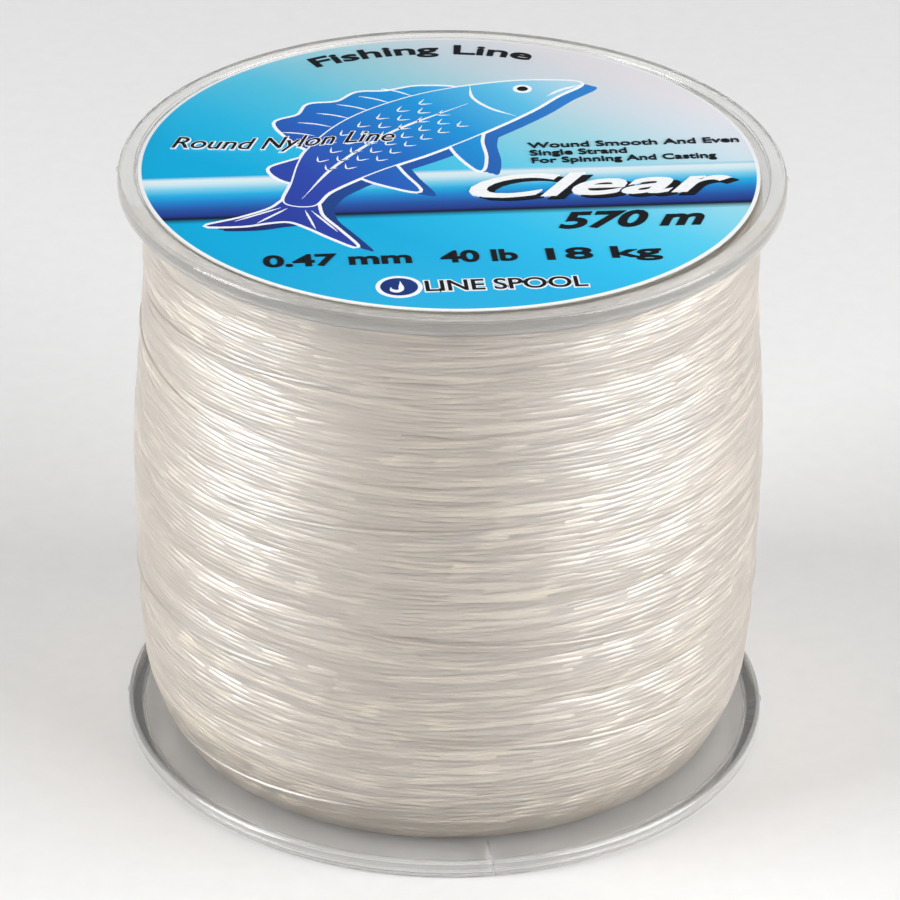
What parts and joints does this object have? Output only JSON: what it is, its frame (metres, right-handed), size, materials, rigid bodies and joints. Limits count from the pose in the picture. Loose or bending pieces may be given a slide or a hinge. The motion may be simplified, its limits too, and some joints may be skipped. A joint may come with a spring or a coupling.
{
  "type": "fishing line spool",
  "caption": "Clear flanged spool with a spindle bore, a round label on its upper face and a full winding of clear monofilament fishing line.",
  "frame": {"origin": "centre of the lower rim's face, where the spool stands", "axes": "+Z along the spool's axis, towards the label; the label reads upright from -Y"},
  "size_m": [0.0682, 0.068, 0.064],
  "materials": {
    "clear_polystyrene": "clear moulded polystyrene, polished",
    "milky_polystyrene": "milky natural polystyrene, smooth",
    "printed_film": "printed film sticker, semi-gloss",
    "clear_nylon_line": "clear extruded nylon, wet-looking gloss"
  },
  "bodies": {
    "root": {"lower_flange": "clear_polystyrene", "upper_flange": "clear_polystyrene", "barrel": "clear_polystyrene", "spindle_tube": "milky_polystyrene", "front_label": "printed_film", "line_winding": "clear_nylon_line", "line_end": "clear_nylon_line", "start_knot": "clear_nylon_line"}
  },
  "joints": []
}
